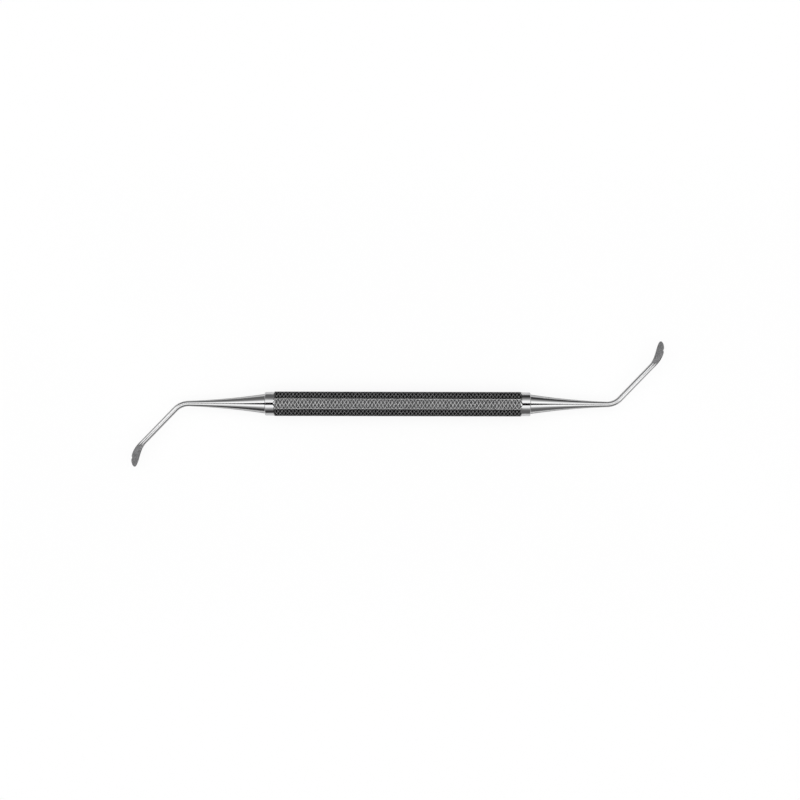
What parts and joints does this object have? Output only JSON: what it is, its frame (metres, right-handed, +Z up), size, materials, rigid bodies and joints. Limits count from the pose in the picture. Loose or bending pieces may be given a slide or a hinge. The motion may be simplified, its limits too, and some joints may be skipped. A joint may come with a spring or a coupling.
{
  "type": "sinus lift instrument",
  "caption": "Double-ended hand instrument: knurled octagonal handle with turned collars, flared and bent slim shanks, and hollow-ground spoon blades.",
  "frame": {"origin": "below the middle of the handle, on the surface that the instrument lies on", "axes": "+X along the handle, +Z up, square to the flat that the handle lies on; the blade at the +X end points towards +Y, and the blades' ground faces look up"},
  "size_m": [0.1746, 0.042, 0.008],
  "materials": {
    "knurled_grip": "knurled stainless steel, darkened in the pits, with worn bright crests",
    "polished_steel": "polished stainless steel, with a satin ground blade"
  },
  "bodies": {
    "root": {"handle": "knurled_grip", "working_end_right": "polished_steel", "working_end_left": "polished_steel"}
  },
  "joints": []
}
